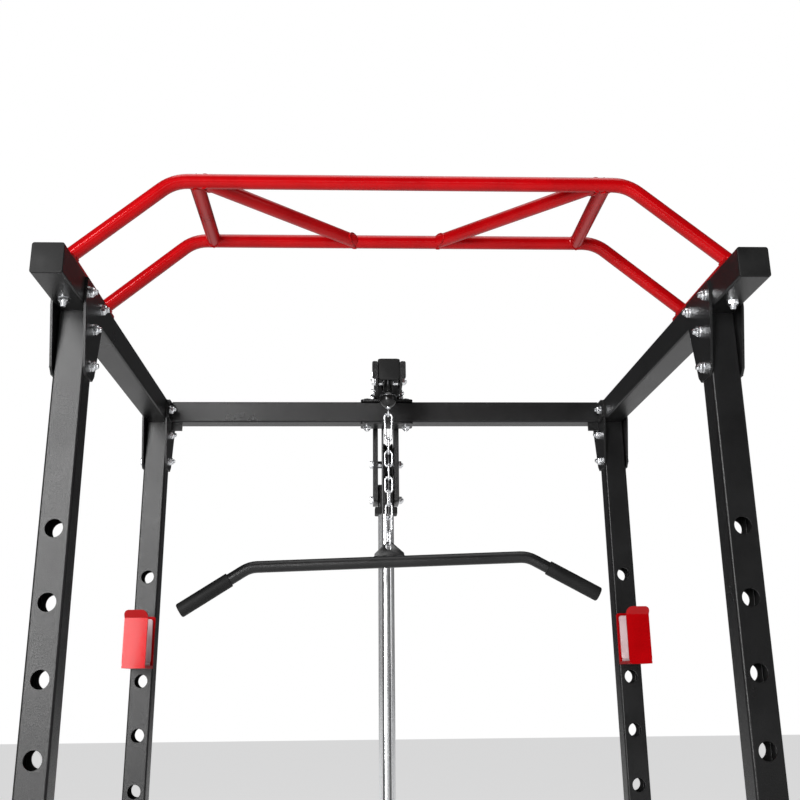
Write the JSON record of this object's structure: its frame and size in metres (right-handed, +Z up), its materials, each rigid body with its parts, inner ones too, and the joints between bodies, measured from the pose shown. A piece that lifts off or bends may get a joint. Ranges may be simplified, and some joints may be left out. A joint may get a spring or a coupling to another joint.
{
  "type": "power cage with lat pulldown",
  "caption": "Square-tube power cage with a multi-grip pull-up bar, J-hooks, safety bars and a plate-loaded lat pulldown with a hanging bar.",
  "frame": {"origin": "centre of the bounding box's bottom face, on the floor", "axes": "+X to the user's right hand as they face the pulldown, +Y from the open front to the pulldown at the back, +Z up"},
  "size_m": [1.168, 1.4, 2.2585],
  "materials": {
    "black_powder_coat": "satin powder coat",
    "red_powder_coat": "gloss powder coat",
    "zinc_plate": "bright zinc",
    "chrome": "polished",
    "black_rubber": "matte",
    "black_nylon": "gloss",
    "pale_nylon": "matte",
    "cable_coat": "smooth sleeve over steel rope"
  },
  "bodies": {
    "cage": {"upright_front_left": "black_powder_coat", "upright_front_right": "black_powder_coat", "upright_rear_left": "black_powder_coat", "upright_rear_right": "black_powder_coat", "top_rail_left": "black_powder_coat", "top_rail_right": "black_powder_coat", "rear_top_crossmember": "black_powder_coat", "top_gusset_plates": "black_powder_coat", "base_rail_left": "black_powder_coat", "base_rail_right": "black_powder_coat", "rear_base_crossmember": "black_powder_coat", "base_gusset_plates": "black_powder_coat", "gusset_bolts_and_nuts": "zinc_plate", "tube_end_caps": "black_rubber", "floor_pads": "black_rubber", "pull_up_front_bar": "red_powder_coat", "pull_up_rear_bar": "red_powder_coat", "pull_up_neutral_grips": "red_powder_coat", "pull_up_slanted_grips": "red_powder_coat", "pull_up_end_plates": "red_powder_coat", "pull_up_bolts_and_nuts": "zinc_plate", "lat_beam": "black_powder_coat", "beam_clamp_plates": "black_powder_coat", "clamp_bolts_and_nuts": "zinc_plate", "pulley_cheeks": "black_powder_coat", "hanger_bracket": "black_powder_coat", "lat_frame_bolts_and_nuts": "zinc_plate", "axle_spacers": "zinc_plate", "low_pulley_bracket": "black_powder_coat", "low_ball_stop": "black_nylon", "guide_post": "chrome", "guide_block": "black_powder_coat", "guide_collar": "black_rubber", "guide_base_plate": "black_powder_coat", "rubber_bumper": "black_rubber", "lat_foot_beam": "black_powder_coat", "rear_t_foot": "black_powder_coat", "cables": "cable_coat", "lat_cable_drop": "cable_coat", "low_cable_rise": "cable_coat"},
    "carriage": {"carriage_sleeve": "black_powder_coat", "carriage_bushings": "pale_nylon", "plate_horns": "chrome", "horn_end_caps": "black_rubber", "cable_studs": "zinc_plate"},
    "pulldown": {"ball_stop": "black_nylon", "carabiner": "zinc_plate", "hanging_chain": "zinc_plate"},
    "hanging_bar": {"lat_bar": "black_powder_coat", "lat_bar_grips": "black_rubber"},
    "front_wheel": {"front_pulley": "black_nylon"},
    "rear_wheel": {"rear_pulley": "black_nylon"},
    "return_wheel": {"return_pulley": "black_nylon"},
    "low_wheel": {"low_pulley": "black_nylon"},
    "left_hook": {"left_j_hook": "red_powder_coat", "left_j_hook_liner": "pale_nylon"},
    "right_hook": {"right_j_hook": "red_powder_coat", "right_j_hook_liner": "pale_nylon"},
    "left_safety": {"left_safety_bar": "chrome"},
    "right_safety": {"right_safety_bar": "chrome"}
  },
  "joints": [
    {"name": "carriage_slide", "type": "slide", "parent": "cage", "child": "carriage", "axis": [0, 0, 1], "range_m": [0, 1.2], "deforming": ["lat_cable_drop", "low_cable_rise"]},
    {"name": "pulldown_slide", "type": "slide", "parent": "cage", "child": "pulldown", "axis": [0, 0, -1], "range_m": [0, 1.2]},
    {"name": "bar_swivel", "type": "hinge", "parent": "pulldown", "child": "hanging_bar", "pos_m": [-0.002, 0.1205, 1.7348], "axis": [0, 0, 1], "range_deg": [-20, 20]},
    {"name": "front_pulley_spin", "type": "hinge", "parent": "cage", "child": "front_wheel", "pos_m": [-0.002, 0.154, 2.112], "axis": [1, 0, 0], "range_deg": [0, 2064]},
    {"name": "rear_pulley_spin", "type": "hinge", "parent": "cage", "child": "rear_wheel", "pos_m": [-0.009, 0.3195, 2.168], "axis": [1, 0, 0], "range_deg": [0, 2064]},
    {"name": "return_pulley_spin", "type": "hinge", "parent": "cage", "child": "return_wheel", "pos_m": [0.0055, 0.405, 1.967], "axis": [1, 0, 0], "continuous": true},
    {"name": "low_pulley_spin", "type": "hinge", "parent": "cage", "child": "low_wheel", "pos_m": [0.0055, 0.3155, 0.11], "axis": [1, 0, 0], "continuous": true},
    {"name": "left_hook_pull", "type": "slide", "parent": "cage", "child": "left_hook", "axis": [0, -1, 0], "range_m": [0, 0.075]},
    {"name": "right_hook_pull", "type": "slide", "parent": "cage", "child": "right_hook", "axis": [0, -1, 0], "range_m": [0, 0.075]},
    {"name": "left_safety_pull", "type": "slide", "parent": "cage", "child": "left_safety", "axis": [0, -1, 0], "range_m": [0, 0.8]},
    {"name": "right_safety_pull", "type": "slide", "parent": "cage", "child": "right_safety", "axis": [0, -1, 0], "range_m": [0, 0.8]}
  ],
  "couplings": [
    {"joint": "pulldown_slide", "follows": "carriage_slide", "ratio": 1},
    {"joint": "front_pulley_spin", "follows": "carriage_slide", "rad_per_m": 29.851},
    {"joint": "rear_pulley_spin", "follows": "carriage_slide", "rad_per_m": 29.851}
  ]
}
